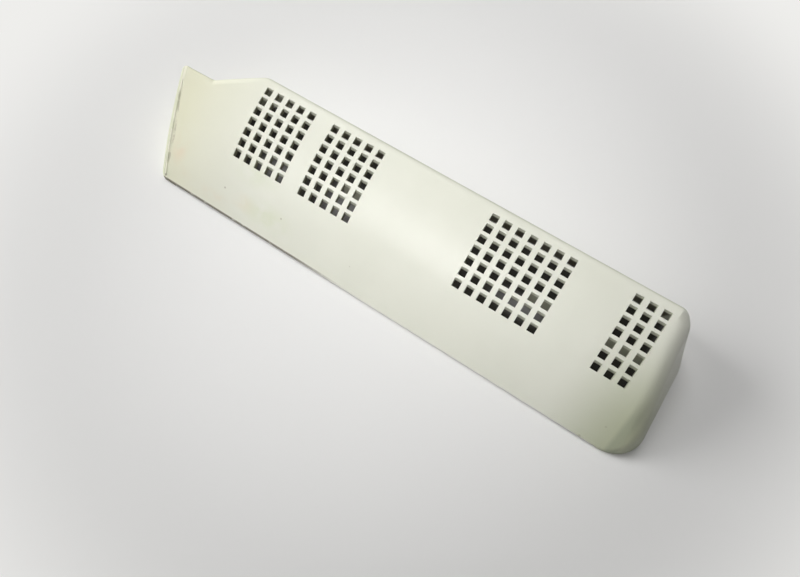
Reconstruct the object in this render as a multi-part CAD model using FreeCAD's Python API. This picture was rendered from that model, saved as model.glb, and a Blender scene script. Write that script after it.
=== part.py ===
import FreeCAD, Part
import math
import os
from collections import namedtuple

V = FreeCAD.Vector

# Washing machine drum paddle: one moulded shell, hollow and open underneath.
# X runs along the paddle from the narrow tail to the rounded end.
# Y runs from the front rim, below the broad perforated flank, to the steep back.
# Z runs up from the seating plane, which touches the drum.

# Square drain holes, moulded straight through the flank along Z
column_pitch = 5.5
row_pitch = 4.31
row_count = 7
rows_behind_centre = 3.5
hole_along = 3.2
hole_across = 3.05

# Fields of holes from the tail to the rounded end, with the plain gaps between their outer columns
field_columns = (5, 5, 7, 3)
gap_tail_fields = 11.7
gap_middle = 52.1
gap_end_fields = 26.4
tail_margin = 44.8
end_margin = 19.6

# Rim on the seating plane
width = 63.6
wall = 2.3
rim_land = 1.4
rim_relief = 0.8
relief_from_tail = 19.0
relief_from_end = 14.5

# Flank: a cylinder along X that starts at the front rim; it flattens out along the swept tail
flank_radius = 92.0
rim_slope = 51.0
tail_flattening = 2.3
flat_from_tail = 8.0
round_from_tail = 30.0
swept_tail = 42.3
knot_count = 6

# Walls, with their lean from upright
back_lean = 18.6
end_lean = 19.0
tail_end_lean = 1.0

# Tail: the back steps forward at a slanting shoulder
tail_back_depth = 13.3
tail_back_length = 15.4
tail_back_angle = 1.0
shoulder_angle = 31.5
tail_end_angle = 12.5
tail_crest_inset = 9.0

# Corner radii seen from above; the one at the back of the rounded end tapers towards the crest
front_end_corner = 13.0
back_end_corner = 24.0
back_end_corner_top = 2.0
shoulder_corner = 8.0
neck_corner = 4.0
tail_tip_corner = 2.0
tail_front_corner = 3.0

# Rounding where the flank turns over into the walls
crest_round = 3.0
end_round = 7.0
rim_round = 1.0
tail_back_round = 1.5
tail_round = 1.0
least_round = 0.6
least_corner = 1.5

# Raised bead along the end of the tail
bead_width = 1.6
bead_height = 0.2
bead_below_crest = 7.0

# Inside: screw bosses in the plain gaps nearest the rounded end, and stiffening ribs
boss_count = 2
boss_diameter = 9.0
pilot_diameter = 3.4
pilot_depth = 16.0
rib_thickness = 1.2
rib_depth = 9.0
rib_foot = 2.0
middle_rib_tail_reach = 34.0
middle_rib_end_reach = 24.0
end_rib_tail_reach = 21.0

# Places worked out from the sizes above
field_gaps = (gap_tail_fields, gap_middle, gap_end_fields)
field_lengths = [(columns - 1) * column_pitch for columns in field_columns]
length = tail_margin + sum(field_lengths) + sum(field_gaps) + end_margin
tip_x = -length / 2
end_x = length / 2
front_y = -width / 2
back_y = width / 2
top_row_y = rows_behind_centre * row_pitch
tail_back_y = back_y - tail_back_depth
tail_crest_y = tail_back_y - tail_crest_inset
boss_gaps = range(len(field_gaps) - boss_count, len(field_gaps))
slope = math.radians(rim_slope)
flank_y = front_y + flank_radius * math.sin(slope)
flank_z = rim_land - flank_radius * math.cos(slope)
flank_rise = 0.5
over = 5.0
form_height = flank_z + flank_radius + over


def field_starts():
    """X of the first column of each field of holes."""
    starts = [tip_x + tail_margin]
    for gap, span in zip(field_gaps, field_lengths):
        starts.append(starts[-1] + span + gap)
    return starts


def gap_middle_x(index):
    """X of the middle of the plain gap after a field."""
    starts = field_starts()
    return (starts[index] + field_lengths[index] + starts[index + 1]) / 2


def ahead(heading):
    """Unit vector in plan for a heading in degrees."""
    angle = math.radians(heading)
    return V(math.cos(angle), math.sin(angle), 0)


# Plan of the rim, counter-clockwise. Each side is a line on the seating plane through a point, with
# its heading, its lean, the rounding of its upper edge, and the corner that follows it: the corner's
# radius on the seating plane and at the top of the form, and whether it turns out or in.
Side = namedtuple("Side", "point heading lean edge_round corner corner_top turn")
FlankArc = namedtuple("FlankArc", "centre radius first last")

neck_x = tip_x + tail_back_length
neck_y = tail_back_y + tail_back_length * math.tan(math.radians(tail_back_angle))
sides = [
    Side(V(0, front_y, 0), 0, 0, rim_round, front_end_corner, front_end_corner, 1),
    Side(V(end_x, 0, 0), 90, end_lean, end_round, back_end_corner, back_end_corner_top, 1),
    Side(V(0, back_y, 0), 180, back_lean, crest_round, shoulder_corner, shoulder_corner, 1),
    Side(V(neck_x, neck_y, 0), 180 + shoulder_angle, back_lean, crest_round, neck_corner, neck_corner, -1),
    Side(V(neck_x, neck_y, 0), 180 + tail_back_angle, back_lean, tail_back_round,
         tail_tip_corner, tail_tip_corner, 1),
    Side(V(tip_x, tail_back_y, 0), 270 + tail_end_angle, tail_end_lean, tail_round,
         tail_front_corner, tail_front_corner, 1),
]


def side_line(side, height, inset):
    """Point and heading of a wall's line at a height, with the wall moved in by an inset."""
    lean = math.radians(side.lean)
    heading = ahead(side.heading)
    inward = V(-heading.y, heading.x, 0)
    shift = height * math.tan(lean) + inset / math.cos(lean)
    return side.point + V(0, 0, height) + inward * shift, heading


def plan_corners(height, inset):
    """Sharp corners of the plan at a height: where each side meets the next."""
    lines = [side_line(side, height, inset) for side in sides]
    corners = []
    for (start, heading), (other, turned) in zip(lines, lines[1:] + lines[:1]):
        gap = other - start
        run = (gap.x * turned.y - gap.y * turned.x) / (heading.x * turned.y - heading.y * turned.x)
        corners.append(start + heading * run)
    return corners


def plan_block(bottom, inset):
    """Leaning walls of the plan, closed top and bottom, with the upright corners rounded."""
    low = plan_corners(bottom, inset)
    high = plan_corners(form_height, inset)
    faces = [Part.Face(Part.makePolygon(low[::-1] + low[-1:]))]
    faces.append(Part.Face(Part.makePolygon(high + high[:1])))
    for a, b, c, d in zip(low, low[1:] + low[:1], high[1:] + high[:1], high):
        faces.append(Part.Face(Part.makePolygon([a, b, c, d, a])))
    block = Part.Solid(Part.makeShell(faces))
    for side, a, b in zip(sides, low, high):
        foot = max(side.corner - side.turn * inset, least_corner)
        top = max(side.corner_top - side.turn * inset, least_corner)
        middle = (a + b) * 0.5
        edge = min(block.Edges, key=lambda e: (e.CenterOfMass - middle).Length)
        rises = edge.valueAt(edge.FirstParameter).z < edge.valueAt(edge.LastParameter).z
        first, last = (foot, top) if rises else (top, foot)
        block = block.makeFillet(first, last, [edge])
    return block


def flank_arc(x, inset):
    """Arc across the flank at a place along X, from in front of the rim to the back.

    It passes through the front rim and the crest of the tail. Midway between them it drops below the
    body's arc where the flank flattens out.
    """
    share = (x - tip_x - flat_from_tail) / (round_from_tail - flat_from_tail)
    drop = tail_flattening * (1 - min(max(share, 0), 1))
    points = []
    for y, lowered in ((front_y, 0), ((front_y + tail_crest_y) / 2, drop), (tail_crest_y, 0)):
        rise = math.sqrt(flank_radius ** 2 - (y - flank_y) ** 2)
        points.append(V(x, y, flank_z + rise - lowered))
    circle = Part.Circle(*points)
    radius = circle.Radius - inset
    first = math.asin((front_y - over - circle.Center.y) / radius)
    last = math.asin((back_y - circle.Center.y) / radius)
    return FlankArc(circle.Center, radius, first, last)


def arc_point(arc, share, reach=1):
    """Point at a share of the way along an arc, with its reach from the centre given in radii."""
    turn = arc.first + (arc.last - arc.first) * share
    return arc.centre + V(0, math.sin(turn), math.cos(turn)) * (arc.radius * reach)


def flank_body(inset):
    """Solid under the flank, with the flank moved in by an inset.

    The body is swept straight along X. The tail is a spline of arcs that runs smoothly into the body.
    """
    step = swept_tail / (knot_count + 1)
    knots = [tip_x - over] + [tip_x + step * n for n in range(1, knot_count + 2)]
    repeats = [4] + [1] * knot_count + [4]
    spread = [knot for knot, repeat in zip(knots, repeats) for n in range(repeat)]
    arcs = [flank_arc(sum(spread[n:n + 3]) / 3, inset) for n in range(1, len(spread) - 3)]
    poles = []
    weights = []
    for arc in arcs:
        weight = math.cos((arc.last - arc.first) / 2)
        poles.append([arc_point(arc, 0), arc_point(arc, 0.5, 1 / weight), arc_point(arc, 1)])
        weights.append([1, weight, 1])
    sweep = Part.BSplineSurface()
    sweep.buildFromPolesMultsKnots(poles, repeats, [3, 3], knots, [0, 1], False, False, 3, 2, weights)
    joint = Part.Arc(*[arc_point(arcs[-1], share) for share in (0, 0.5, 1)]).toShape()
    straight = joint.extrude(V(end_x + over - knots[-1], 0, 0))
    down = V(0, 0, -form_height)
    return sweep.toShape().extrude(down).fuse(straight.extrude(down)).removeSplitter()


def edge_ends(edge):
    return edge.valueAt(edge.FirstParameter), edge.valueAt(edge.LastParameter)


def flank_loop(block):
    """Numbers of the edges where the flank, whose faces look up more than the walls, meets the walls."""
    edges = []
    for face in block.Faces:
        u0, u1, v0, v1 = face.ParameterRange
        if face.normalAt((u0 + u1) / 2, (v0 + v1) / 2).z > flank_rise:
            edges += face.Edges
    return [n for n, edge in enumerate(block.Edges, 1) if sum(edge.isSame(e) for e in edges) == 1]


def loop_round(point, inset):
    """Rounding of the loop at a point, from the wall that the point lies on."""
    def distance(side):
        start, heading = side_line(side, point.z, inset)
        return (point - start).cross(heading).Length
    return max(min(sides, key=distance).edge_round - inset, least_round)


def outer_form(bottom, inset):
    """The closed form of the paddle, moved in by an inset, with the flank's loop of edges rounded.

    The rounding passes smoothly from one wall's radius to the next round each corner.
    """
    block = plan_block(bottom, inset).common(flank_body(inset))
    loop = []
    for n in flank_loop(block):
        start, end = edge_ends(block.Edges[n - 1])
        clockwise = start.x * end.y - start.y * end.x < 0
        loop.append((n, start, end, clockwise))
    leading = loop[0][3]
    radii = []
    for n, start, end, clockwise in loop:
        if clockwise != leading:
            start, end = end, start
        radii.append((n, loop_round(start, inset), loop_round(end, inset)))
    document = FreeCAD.newDocument("form")
    base = document.addObject("Part::Feature", "block")
    base.Shape = block
    fillet = document.addObject("Part::Fillet", "rounded")
    fillet.Base = base
    fillet.Edges = radii
    document.recompute()
    form = fillet.Shape.copy()
    FreeCAD.closeDocument(document.Name)
    return form


def tail_bead():
    """Low bead with round ends that lies on the flank along the end of the tail."""
    wall_point, along = side_line(sides[-1], 0, tail_round + bead_width / 2)
    across = V(-along.y, along.x, 0) * (bead_width / 2)
    top = wall_point + along * ((tail_crest_y - bead_below_crest - wall_point.y) / along.y)
    foot = wall_point + along * ((front_y + bead_width - wall_point.y) / along.y)
    reach = along * (bead_width / 2)
    outline = [
        Part.makeLine(top - across, foot - across),
        Part.Arc(foot - across, foot + reach, foot + across).toShape(),
        Part.makeLine(foot + across, top + across),
        Part.Arc(top + across, top - reach, top - across).toShape(),
    ]
    bar = Part.Face(Part.Wire(outline)).extrude(V(0, 0, form_height))
    return bar.common(flank_body(-bead_height))


def drain_holes():
    """All the square holes, as upright bars that cross the flank."""
    bars = []
    for start, columns in zip(field_starts(), field_columns):
        for column in range(columns):
            for row in range(row_count):
                x = start + column * column_pitch - hole_along / 2
                y = top_row_y - row * row_pitch - hole_across / 2
                bars.append(Part.makeBox(hole_along, hole_across, form_height, V(x, y, rib_foot)))
    return Part.makeCompound(bars)


def rib_band(inside):
    """Layer under the flank, as deep as the ribs, that stops short of the seating plane."""
    core = flank_body(wall + rib_depth)
    floor = Part.makeBox(length, width, over + rib_foot, V(tip_x, front_y, -over))
    return inside.cut(core).cut(floor)


def ribs(inside):
    """Cross ribs in the plain gaps, and upright ribs along the centre plane either side of the bosses."""
    half = rib_thickness / 2
    slabs = []
    for index in range(len(field_gaps)):
        x = gap_middle_x(index)
        slabs.append(Part.makeBox(rib_thickness, width, form_height, V(x - half, front_y, 0)))
    middle_x = gap_middle_x(boss_gaps[0]) - middle_rib_tail_reach
    middle_span = middle_rib_tail_reach + middle_rib_end_reach
    slabs.append(Part.makeBox(middle_span, rib_thickness, form_height, V(middle_x, -half, 0)))
    last_x = gap_middle_x(boss_gaps[1]) - end_rib_tail_reach
    slabs.append(Part.makeBox(end_x - last_x, rib_thickness, form_height, V(last_x, -half, 0)))
    band = rib_band(inside)
    return [slab.common(band) for slab in slabs]


def bosses(inside):
    """Screw bosses from the seating plane up to the inside of the flank."""
    radius = boss_diameter / 2
    posts = []
    for index in boss_gaps:
        post = Part.makeCylinder(radius, form_height, V(gap_middle_x(index), 0, 0))
        posts.append(post.common(inside))
    return posts


def pilot_holes():
    """Blind holes for self-tapping screws that come up through the drum wall."""
    radius = pilot_diameter / 2
    bits = []
    for index in boss_gaps:
        bits.append(Part.makeCylinder(radius, pilot_depth + over, V(gap_middle_x(index), 0, -over)))
    return Part.makeCompound(bits)


def rim_reliefs():
    """Shallow cuts that lift the two long rims clear of the seating plane."""
    start = tip_x + relief_from_tail
    run = length - relief_from_tail - relief_from_end
    depth = width / 4
    cuts = []
    for y in (front_y - over, back_y - depth):
        cuts.append(Part.makeBox(run, depth + over, over + rim_relief, V(start, y, -over)))
    return Part.makeCompound(cuts)


def drum_paddle():
    inside = outer_form(-over, wall)
    shell = outer_form(0, 0).fuse(tail_bead()).cut(inside).cut(drain_holes())
    filled = shell.fuse(ribs(inside) + bosses(inside))
    return filled.cut(pilot_holes()).cut(rim_reliefs()).removeSplitter()


os.makedirs("parts", exist_ok=True)
paddle = drum_paddle()
print("length", round(length, 2), "solids", len(paddle.Solids), "valid", paddle.isValid())
print("bosses at x", [round(gap_middle_x(index), 3) for index in boss_gaps])
paddle.exportStep("parts/drum_paddle.step")
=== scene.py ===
"""Looks of a washing machine drum paddle: ivory moulded plastic, yellowed at the tail, on a pale stage."""

import math

import bpy
from mathutils import Matrix, Vector

MM = 0.001

# Form of the paddle, in millimetres and radians: tail, neck, shoulder, rims, back and the flank's cylinder
TAIL_TIP = (-121.3, 18.5)
TAIL_END_ANGLE = math.radians(12.5)
NECK = (-105.9, 18.8)
SHOULDER_X = -84.6
SHOULDER_FACING = (-0.6, 0.75)
FRONT_Y = -31.8
BACK_Y = 31.8
BACK_LEAN = math.radians(18.6)
END_X = 121.3
FLANK_AXIS = (39.7, -56.5)
FLANK_RADIUS = 92.0
WALL = 2.3

# Colours of the plastic, of the marks on it, of painted light and shade, and of the surroundings
IVORY_LIGHT = (0.825, 0.828, 0.725, 1)
IVORY_DARK = (0.795, 0.800, 0.695, 1)
YELLOWED = (0.800, 0.788, 0.600, 1)
PEACH = (0.830, 0.700, 0.520, 1)
GREENISH = (0.720, 0.760, 0.560, 1)
# Painted light on the tail's bead
BEAD_PAINTED_LIGHT = (0.930, 0.912, 0.750, 1)
BEAD_DIRT = (0.300, 0.265, 0.150, 1)
# Painted shade along the front rim, inside the back wall and on hole walls, and a paler one deep in the
# holes
DARK_SHADE = (0.110, 0.095, 0.060, 1)
DEEP_SHADE = (0.330, 0.330, 0.250, 1)
SPECK = (0.380, 0.340, 0.250, 1)
# Painted shade in olive on back-facing edges and the end's low corner, and a darker one in a band by the end
OLIVE_SHADE = (0.440, 0.470, 0.310, 1)
END_SHADE = (0.240, 0.260, 0.180, 1)
TABLE = (0.810, 0.806, 0.795, 1)
BACKDROP = (0.860, 0.855, 0.835, 1)
# Painted shade on the stage under the paddle
UNDERSIDE_SHADE = (0.045, 0.042, 0.034, 1)

# Marks, in millimetres. A pair runs from where a mark starts to where it is full, and three values are
# the start and end of a stretch with the length over which it fades.
YELLOWING_X = (-62.0, -116.0)
PATCHES_X = (-90.0, -118.0)
BEAD_TINT = (4.0, 2.5)
BEAD_EDGE = 2.6
# Painted light along the bead's edge
BEAD_LIGHT_EDGE = (2.0, 2.8, 0.3)
DIRT_LINE = (0.45, -0.1)
DIRT_WANDER = 0.5
DIRT_BOW = 1.3
DIRT_BOW_Y = (-17.0, -13.0, 13.0)
DIRT_RUNS_Y = ((-6.5, -2.5, 2.5), (-25.0, -12.5, 2.0))
# Painted shade along the front rim
FRONT_SHADE_X = (-104.0, -40.0, 34.0)
FRONT_SHADE_INSET = (0.75, 0.25)
# Painted shade in the holes, on the crest and the tail's back, and at the rounded end's low corner
FIRST_HOLES_X = (-79.5, -78.5)
LAST_HOLES_X = (106.0, 104.5)
DEEP_SHADE_DEPTH = (1.6, WALL)
HOLE_WALL_DEPTH = (0.1, 0.9)
INSIDE_BACK = (0.4 * WALL, 0.7 * WALL)
INNER_BACK_FACE = (2.6 * WALL, 1.4 * WALL)
CREST_DEPTH = (5.0, 2.0)
TAIL_BACK_X = (-80.0, -90.0)
LOW_CORNER_X = (80.0, 114.0)
LOW_CORNER_Y = (14.0, -25.0)
CORNER_BAND_X = (111.5, 113.0, 2.5)
CORNER_BAND_Y = (-8.0, -22.0)

# Shares of marks and of painted shade that add up or vary
YELLOWING_SHARE = 0.72
PATCHES_SHARE = 0.45
TAIL_BACK_SHARE = 0.6
INNER_BACK_LEAST = 0.72
INNER_BACK_SPREAD = 0.25

# How far a face looks to the back or to the rounded end where painted shade starts and where it is full
BACK_FACES = (0.35, 0.8)
END_FACES = (0.3, 0.8)

# Streaks of painted shade on the back run up and down, so their pattern is stretched along Y and Z
STREAK_STRETCH = (1, 0.3, 0.3)

# Fine dots: cells to the millimetre, size as a share of a cell, and how rare they are
DOT_CELLS = 0.11
DOT_SIZE = (0.045, 0.015)
DOT_CHANCE = (0.72, 0.74)

# Finish: lowest and highest roughness, heights of the grain and of the waves as shares of the bump's depth,
# and that depth in metres, with the bump's strength
ROUGHNESS = (0.34, 0.46)
GRAIN_HEIGHT = 0.03
WAVE_HEIGHT = 0.5
BUMP_DEPTH = 0.2 * MM
BUMP_STRENGTH = 0.35

# Stains: centre, half sizes, share and tint
STAINS = (
    ((-104.5, -19.0, 12.5), (6.0, 11.0, 11.0), 0.62, PEACH),
    ((-100.0, -27.0, 6.0), (7.0, 5.0, 5.0), 0.28, PEACH),
    ((-80.5, -28.0, 5.5), (11.0, 5.0, 5.0), 0.30, PEACH),
    ((-66.0, -25.0, 9.0), (9.0, 6.0, 6.0), 0.32, PEACH),
    ((-54.0, -25.0, 8.6), (18.0, 9.0, 9.0), 0.62, GREENISH),
    ((-66.0, -14.0, 19.0), (16.0, 9.0, 9.0), 0.40, GREENISH),
    ((-108.0, -29.5, 3.5), (5.0, 4.0, 4.0), 0.45, GREENISH),
)

# Single specks: centre, half size and share
SPECKS = (
    ((-76.7, -23.5, 10.3), 0.7, 0.8),
    ((-46.9, -22.7, 11.1), 0.6, 0.8),
    ((105.7, -25.2, 8.7), 0.7, 0.8),
    ((-108.0, -30.6, 2.9), 0.9, 0.9),
    ((100.0, -31.6, 1.6), 0.9, 0.9),
)

# Stage: its side in metres, then in millimetres how far inside the paddle's outline its painted shade grows
# dark, where painted light falls through the holes, and where it passes into the backdrop
TABLE_SIDE = 6.0
TAIL_INSET = (3.0, 9.0)
END_INSET = (7.0, 15.0)
RIM_INSET = (1.3, 3.3)
LIT_PATCHES = (
    ((-68.0, -1.0, 0.0), (17.0, 10.0, 1.0)),
    ((-33.0, 1.0, 0.0), (16.0, 15.0, 1.0)),
    ((56.0, 2.0, 0.0), (20.0, 7.0, 1.0)),
)
LIT_PATCH_SHARE = 0.35
BACKDROP_FROM = (130.0, 235.0)

# Camera: place, sensor and focal length in millimetres, directions of the picture's right and top, and the
# nearest distance that it sees, in metres
CAMERA_PLACE = (63.55, -90.73, 243.49)
PICTURE_RIGHT = (0.83542, 0.54918, -0.02171)
PICTURE_UP = (-0.50888, 0.78782, 0.34696)
SENSOR_WIDTH = 36.0
FOCAL_LENGTH = 27.9
NEAREST = 0.01


class Tree:
    """Shorthand for building the shader tree of a material or a world."""

    def __init__(self, owner):
        self.nodes = owner.node_tree.nodes
        self.links = owner.node_tree.links

    def add(self, kind, inputs=None):
        """A node with its inputs set or linked."""
        node = self.nodes.new(kind)
        for key, value in (inputs or {}).items():
            self.feed(node.inputs[key], value)
        return node

    def feed(self, socket, value):
        """Link a socket to another one, or set its value."""
        if isinstance(value, bpy.types.NodeSocket):
            self.links.new(value, socket)
        else:
            socket.default_value = value

    def math(self, operation, *values):
        """Result of an operation on numbers."""
        node = self.nodes.new("ShaderNodeMath")
        node.operation = operation
        for socket, value in zip(node.inputs, values):
            self.feed(socket, value)
        return node.outputs[0]

    def times(self, *values):
        """Product of numbers."""
        result = values[0]
        for value in values[1:]:
            result = self.math("MULTIPLY", result, value)
        return result

    def vector(self, operation, first, second=None, output="Vector", scale=None):
        """Result of an operation on vectors."""
        node = self.nodes.new("ShaderNodeVectorMath")
        node.operation = operation
        self.feed(node.inputs[0], first)
        if second is not None:
            self.feed(node.inputs[1], second)
        if scale is not None:
            self.feed(node.inputs["Scale"], scale)
        return node.outputs[output]

    def ramp(self, value, low, high):
        """0 at low, 1 at high, smooth between; low may be the larger one."""
        node = self.add("ShaderNodeMapRange", {"Value": value, "From Min": low, "From Max": high})
        node.interpolation_type = "SMOOTHSTEP"
        return node.outputs["Result"]

    def between(self, value, low, high, fade):
        """1 between two values, fading out on both sides of them."""
        return self.times(self.ramp(value, low - fade, low), self.ramp(value, high + fade, high))

    def blot(self, place, centre, half):
        """Soft egg-shaped mark: 1 at its centre, 0 at its half sizes."""
        offset = self.vector("DIVIDE", self.vector("SUBTRACT", place, centre), half)
        return self.ramp(self.vector("LENGTH", offset, output="Value"), 1.0, 0.0)

    def noise(self, place, scale, detail=3.0):
        """Cloudy noise, with its scale in waves to the millimetre."""
        inputs = {"Vector": place, "Scale": scale, "Detail": detail}
        return self.add("ShaderNodeTexNoise", inputs).outputs["Fac"]

    def patches(self, place, scale, low, high):
        """0 where the noise is low, 1 where it is high."""
        return self.ramp(self.noise(place, scale), low, high)

    def mix(self, share, first, second):
        """First colour with a share of the second."""
        node = self.nodes.new("ShaderNodeMix")
        node.data_type = "RGBA"
        self.feed(node.inputs["Factor"], share)
        self.feed(node.inputs["A"], first)
        self.feed(node.inputs["B"], second)
        return node.outputs["Result"]

    def stain(self, colour, tint, *masks, share):
        """Colour with a share of a tint where all the masks are 1."""
        return self.mix(self.times(*masks, share), colour, tint)

    def finish(self, shader, kind="ShaderNodeOutputMaterial"):
        """Link a shader to the tree's output."""
        self.add(kind, {"Surface": shader.outputs[0]})


def new_material(name):
    """A material with an empty tree."""
    material = bpy.data.materials.new(name)
    material.use_nodes = True
    material.node_tree.nodes.clear()
    return material


def place_in_mm(tree):
    """A point's place in millimetres, with its X, Y and Z."""
    place = tree.vector("SCALE", tree.add("ShaderNodeTexCoord").outputs["Object"], scale=1 / MM)
    axes = tree.add("ShaderNodeSeparateXYZ", {"Vector": place}).outputs
    return place, axes["X"], axes["Y"], axes["Z"]


def facing_x_y(tree):
    """How far a face looks along X and along Y."""
    normal = tree.add("ShaderNodeTexCoord").outputs["Normal"]
    axes = tree.add("ShaderNodeSeparateXYZ", {"Vector": normal}).outputs
    return axes["X"], axes["Y"]


def from_tail_end(tree, x, y):
    """Distance from the slanted end of the tail towards the rounded end."""
    return tree.math("ADD", tree.times(tree.math("SUBTRACT", x, TAIL_TIP[0]), math.cos(TAIL_END_ANGLE)),
                     tree.times(tree.math("SUBTRACT", y, TAIL_TIP[1]), math.sin(TAIL_END_ANGLE)))


def from_back_wall(tree, y, z):
    """Distance from the outside of the leaning back wall towards the front."""
    return tree.math("SUBTRACT", tree.times(tree.math("SUBTRACT", BACK_Y, y), math.cos(BACK_LEAN)),
                     tree.times(z, math.sin(BACK_LEAN)))


def below_flank(tree, place):
    """Depth below the flank's cylinder."""
    across = tree.vector("MULTIPLY", tree.vector("SUBTRACT", place, (0, *FLANK_AXIS)), (0, 1, 1))
    return tree.math("SUBTRACT", FLANK_RADIUS, tree.vector("LENGTH", across, output="Value"))


def tail_marks(tree, place, x, y, colour):
    """Yellowing towards the tail, a greenish tint on the bead, and painted light along the bead's edge
    between runs of dirt.
    """
    patchy = tree.patches(place, scale=0.05, low=0.25, high=0.75)
    yellowing = tree.math("ADD", tree.times(tree.ramp(x, *YELLOWING_X), YELLOWING_SHARE),
                          tree.times(tree.ramp(x, *PATCHES_X), patchy, PATCHES_SHARE))
    colour = tree.mix(yellowing, colour, YELLOWED)
    from_end = from_tail_end(tree, x, y)
    colour = tree.stain(colour, GREENISH, tree.ramp(from_end, *BEAD_TINT), share=0.45)

    bow = tree.times(tree.between(y, *DIRT_BOW_Y), DIRT_BOW)
    off_line = tree.math("ABSOLUTE", tree.math("SUBTRACT", tree.math("SUBTRACT", from_end, BEAD_EDGE), bow))
    wander = tree.times(tree.noise(place, scale=0.45), DIRT_WANDER)
    line = tree.ramp(tree.math("SUBTRACT", off_line, wander), *DIRT_LINE)
    runs = tree.math("ADD", *(tree.between(y, *run) for run in DIRT_RUNS_Y))
    dirty = tree.times(runs, tree.patches(place, scale=0.30, low=0.38, high=0.58))
    clean = tree.math("SUBTRACT", 1.0, dirty)
    # Painted light on the bead's edge where there is no dirt
    colour = tree.mix(tree.times(tree.between(from_end, *BEAD_LIGHT_EDGE), clean), colour, BEAD_PAINTED_LIGHT)
    return tree.stain(colour, BEAD_DIRT, line, dirty, share=0.45)


def stains_and_specks(tree, place, colour):
    """Faint blotchy stains, single specks and rare fine dots."""
    blotchy = tree.patches(place, scale=0.12, low=0.30, high=0.62)
    for centre, half, share, tint in STAINS:
        colour = tree.stain(colour, tint, tree.blot(place, centre, half), blotchy, share=share)
    for centre, half, share in SPECKS:
        colour = tree.stain(colour, SPECK, tree.blot(place, centre, (half, half, half)), share=share)
    cells = tree.add("ShaderNodeTexVoronoi", {"Vector": place, "Scale": DOT_CELLS}).outputs
    chance = tree.add("ShaderNodeSeparateColor", {"Color": cells["Color"]}).outputs["Red"]
    dots = tree.ramp(cells["Distance"], *DOT_SIZE)
    return tree.stain(colour, SPECK, dots, tree.ramp(chance, *DOT_CHANCE), share=0.35)


def front_rim_shade(tree, place, x, y, colour):
    """Painted shade as a dark line along the front rim, from the tail to the middle."""
    rim = tree.ramp(tree.math("SUBTRACT", y, FRONT_Y), *FRONT_SHADE_INSET)
    stretch = tree.between(x, *FRONT_SHADE_X)
    patchy = tree.patches(place, scale=0.25, low=0.15, high=0.45)
    return tree.stain(colour, DARK_SHADE, rim, stretch, patchy, share=0.92)


def hole_shade(tree, place, x, from_back, depth, facing_x, colour):
    """Painted shade deep in the holes, inside the back wall and on the hole walls that face the rounded end.
    """
    holed = tree.times(tree.ramp(x, *FIRST_HOLES_X), tree.ramp(x, *LAST_HOLES_X))
    deep = tree.times(tree.ramp(depth, *DEEP_SHADE_DEPTH), holed, tree.ramp(from_back, *INSIDE_BACK))
    colour = tree.stain(colour, DEEP_SHADE, deep, share=0.75)
    inner_back = tree.times(deep, tree.ramp(from_back, *INNER_BACK_FACE))
    patchy = tree.patches(place, scale=0.05, low=0.30, high=0.55)
    uneven = tree.math("ADD", tree.times(patchy, INNER_BACK_SPREAD), INNER_BACK_LEAST)
    colour = tree.stain(colour, DARK_SHADE, inner_back, share=uneven)
    hole_walls = tree.times(tree.ramp(depth, *HOLE_WALL_DEPTH), tree.ramp(facing_x, *END_FACES))
    return tree.stain(colour, DARK_SHADE, hole_walls, holed, share=0.75)


def olive_shade(tree, place, x, y, depth, facing, colour):
    """Painted shade in olive along the crest and the tail's back, in streaks on the back and on the end's
    low corner, and darker in a band by the end.
    """
    facing_shoulder = tree.math("ADD", *(tree.times(*pair) for pair in zip(facing, SHOULDER_FACING)))
    back = tree.ramp(tree.math("MAXIMUM", facing[1], facing_shoulder), *BACK_FACES)
    tail_back = tree.times(tree.ramp(x, *TAIL_BACK_X), TAIL_BACK_SHARE)
    shaded_edge = tree.math("MAXIMUM", tree.ramp(depth, *CREST_DEPTH), tail_back)
    streaky = tree.patches(tree.vector("MULTIPLY", place, STREAK_STRETCH), scale=0.08, low=0.35, high=0.7)
    colour = tree.stain(colour, OLIVE_SHADE, back, shaded_edge, share=0.62)
    colour = tree.stain(colour, OLIVE_SHADE, back, streaky, share=0.12)
    colour = tree.stain(colour, OLIVE_SHADE, tree.ramp(x, *LOW_CORNER_X), tree.ramp(y, *LOW_CORNER_Y), share=0.85)
    band = tree.between(x, *CORNER_BAND_X)
    return tree.stain(colour, END_SHADE, band, tree.ramp(y, *CORNER_BAND_Y), share=0.50)


def ivory_plastic():
    """Smooth half-matt ivory plastic with the stains, dirt and specks of use, painted shade in and about the
    holes, on back-facing edges and by the end, and painted light on the tail's bead.
    """
    material = new_material("moulded_plastic")
    tree = Tree(material)
    place, x, y, z = place_in_mm(tree)
    facing = facing_x_y(tree)
    depth = below_flank(tree, place)
    colour = tree.mix(tree.patches(place, scale=0.035, low=0.3, high=0.7), IVORY_DARK, IVORY_LIGHT)
    colour = tail_marks(tree, place, x, y, colour)
    colour = stains_and_specks(tree, place, colour)
    colour = front_rim_shade(tree, place, x, y, colour)
    colour = hole_shade(tree, place, x, from_back_wall(tree, y, z), depth, facing[0], colour)
    colour = olive_shade(tree, place, x, y, depth, facing, colour)

    gloss = tree.add("ShaderNodeMapRange", {
        "Value": tree.noise(place, scale=0.09), "To Min": ROUGHNESS[0], "To Max": ROUGHNESS[1],
    })
    grain = tree.times(tree.noise(place, scale=2.2, detail=2.0), GRAIN_HEIGHT)
    waves = tree.times(tree.noise(place, scale=0.10), WAVE_HEIGHT)
    height = tree.math("ADD", grain, waves)
    bump = tree.add("ShaderNodeBump", {"Strength": BUMP_STRENGTH, "Distance": BUMP_DEPTH, "Height": height})
    tree.finish(tree.add("ShaderNodeBsdfPrincipled", {
        "Base Color": colour,
        "Roughness": gloss.outputs["Result"],
        "Normal": bump.outputs["Normal"],
    }))
    return material


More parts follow.
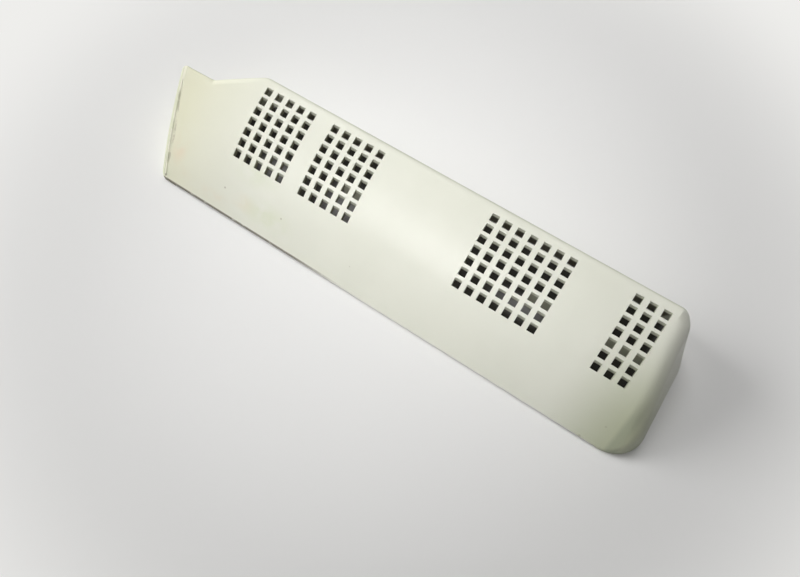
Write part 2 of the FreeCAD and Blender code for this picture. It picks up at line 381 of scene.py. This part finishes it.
def seen_straight(tree):
    """1 where the surroundings are seen, straight or in a reflection, 0 where they only give light."""
    path = tree.add("ShaderNodeLightPath").outputs
    mirrored = tree.math("MAXIMUM", path["Is Glossy Ray"], path["Is Transmission Ray"])
    return tree.math("MAXIMUM", path["Is Camera Ray"], mirrored)


def under_paddle(tree, place, x, y):
    """Painted shade: 1 on the stage inside the paddle's outline, less where painted light falls through the
    fields of holes.
    """
    back_rim = tree.add("ShaderNodeMapRange", {
        "Value": x, "From Min": NECK[0], "From Max": SHOULDER_X, "To Min": NECK[1], "To Max": BACK_Y,
    }).outputs["Result"]
    shade = tree.times(
        tree.ramp(from_tail_end(tree, x, y), *TAIL_INSET),
        tree.ramp(tree.math("SUBTRACT", END_X, x), *END_INSET),
        tree.ramp(tree.math("SUBTRACT", y, FRONT_Y), *RIM_INSET),
        tree.ramp(tree.math("SUBTRACT", back_rim, y), *RIM_INSET),
    )
    for centre, half in LIT_PATCHES:
        lit = tree.times(tree.blot(place, centre, half), LIT_PATCH_SHARE)
        shade = tree.times(shade, tree.math("SUBTRACT", 1.0, lit))
    return shade


def table_top():
    """Pale stage, larger than the view, with painted shade under the paddle, and one with the backdrop far
    off.
    """
    bpy.ops.mesh.primitive_plane_add(size=TABLE_SIDE, location=(0, 0, 0))
    table = bpy.context.object
    table.name = "table"
    material = new_material("table_white")
    tree = Tree(material)
    place, x, y, _ = place_in_mm(tree)
    matt = tree.add("ShaderNodeBsdfPrincipled", {
        "Base Color": tree.mix(under_paddle(tree, place, x, y), TABLE, UNDERSIDE_SHADE),
        "Roughness": 0.8,
        "Specular IOR Level": 0.2,
    })
    far = tree.ramp(tree.vector("LENGTH", place, output="Value"), *BACKDROP_FROM)
    pale = tree.add("ShaderNodeEmission", {"Color": BACKDROP})
    share = tree.times(far, seen_straight(tree))
    tree.finish(tree.add("ShaderNodeMixShader", {0: share, 1: matt.outputs[0], 2: pale.outputs[0]}))
    table.data.materials.append(material)


def hang(name, data, place, aim):
    """A lamp or panel at a place, in metres, that shines at another."""
    light = bpy.data.objects.new(name, data)
    light.location = place
    light.rotation_euler = (Vector(aim) - Vector(place)).to_track_quat("-Z", "Y").to_euler()
    bpy.context.scene.collection.objects.link(light)
    return light


def spot_light(name, place, aim, half_angle, radius, power, shadow=True):
    """Round soft lamp whose pool of light fades towards its edge."""
    data = bpy.data.lights.new(name, "SPOT")
    data.energy = power
    data.spot_size = math.radians(2 * half_angle)
    data.spot_blend = 1.0
    data.shadow_soft_size = radius
    data.use_shadow = shadow
    hang(name, data, place, aim)


def panel_light(name, place, aim, size, power):
    """Round glowing panel that gives soft light and no glare on the gloss."""
    data = bpy.data.lights.new(name, "AREA")
    data.shape = "DISK"
    data.size = size
    data.energy = power
    hang(name, data, place, aim).visible_glossy = False


def room_light(strength):
    """Weak even light from all round, behind which the room is seen as a pale backdrop."""
    world = bpy.data.worlds.new("room")
    world.use_nodes = True
    world.node_tree.nodes.clear()
    tree = Tree(world)
    glow = tree.add("ShaderNodeBackground", {"Color": (1, 1, 1, 1), "Strength": strength})
    pale = tree.add("ShaderNodeBackground", {"Color": BACKDROP, "Strength": 1.0})
    both = tree.add("ShaderNodeMixShader", {0: seen_straight(tree), 1: glow.outputs[0], 2: pale.outputs[0]})
    tree.finish(both, kind="ShaderNodeOutputWorld")
    bpy.context.scene.world = world


def camera():
    """View from above the front, nearer to the rounded end, with the long side rising to the left."""
    right, up = Vector(PICTURE_RIGHT), Vector(PICTURE_UP)
    turn = Matrix((right, up, right.cross(up))).transposed().to_4x4()
    data = bpy.data.cameras.new("camera")
    data.sensor_width = SENSOR_WIDTH
    data.lens = FOCAL_LENGTH
    data.clip_start = NEAREST
    view = bpy.data.objects.new("camera", data)
    view.matrix_world = Matrix.Translation(Vector(CAMERA_PLACE) * MM) @ turn
    bpy.context.scene.collection.objects.link(view)
    bpy.context.scene.camera = view


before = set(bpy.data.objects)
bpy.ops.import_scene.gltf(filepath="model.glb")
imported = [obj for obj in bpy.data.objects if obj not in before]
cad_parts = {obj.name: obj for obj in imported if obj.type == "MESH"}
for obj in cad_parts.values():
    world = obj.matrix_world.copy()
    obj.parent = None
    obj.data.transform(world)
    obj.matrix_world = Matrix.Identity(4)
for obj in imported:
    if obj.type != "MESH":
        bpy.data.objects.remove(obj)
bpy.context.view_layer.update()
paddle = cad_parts["drum_paddle"]
paddle.data.materials.clear()
paddle.data.materials.append(ivory_plastic())
table_top()
panel_light("window", place=(-1.60, -0.25, 0.85), aim=(0, 0, 0), size=1.0, power=19.5)
panel_light("ceiling", place=(-0.60, 0.75, 1.60), aim=(0, 0, 0), size=1.0, power=15.0)
spot_light("lamp", place=(-0.60, 0.20, 1.00), aim=(-0.22, 0.10, 0), half_angle=14.0, radius=0.20, power=9.0)
spot_light("sheen", place=(-0.20, -0.58, 0.82), aim=(-0.005, -0.004, 0.02), half_angle=6.3, radius=0.12,
           power=36.5, shadow=False)
room_light(strength=0.04)
camera()
bpy.context.scene.view_settings.view_transform = "Standard"
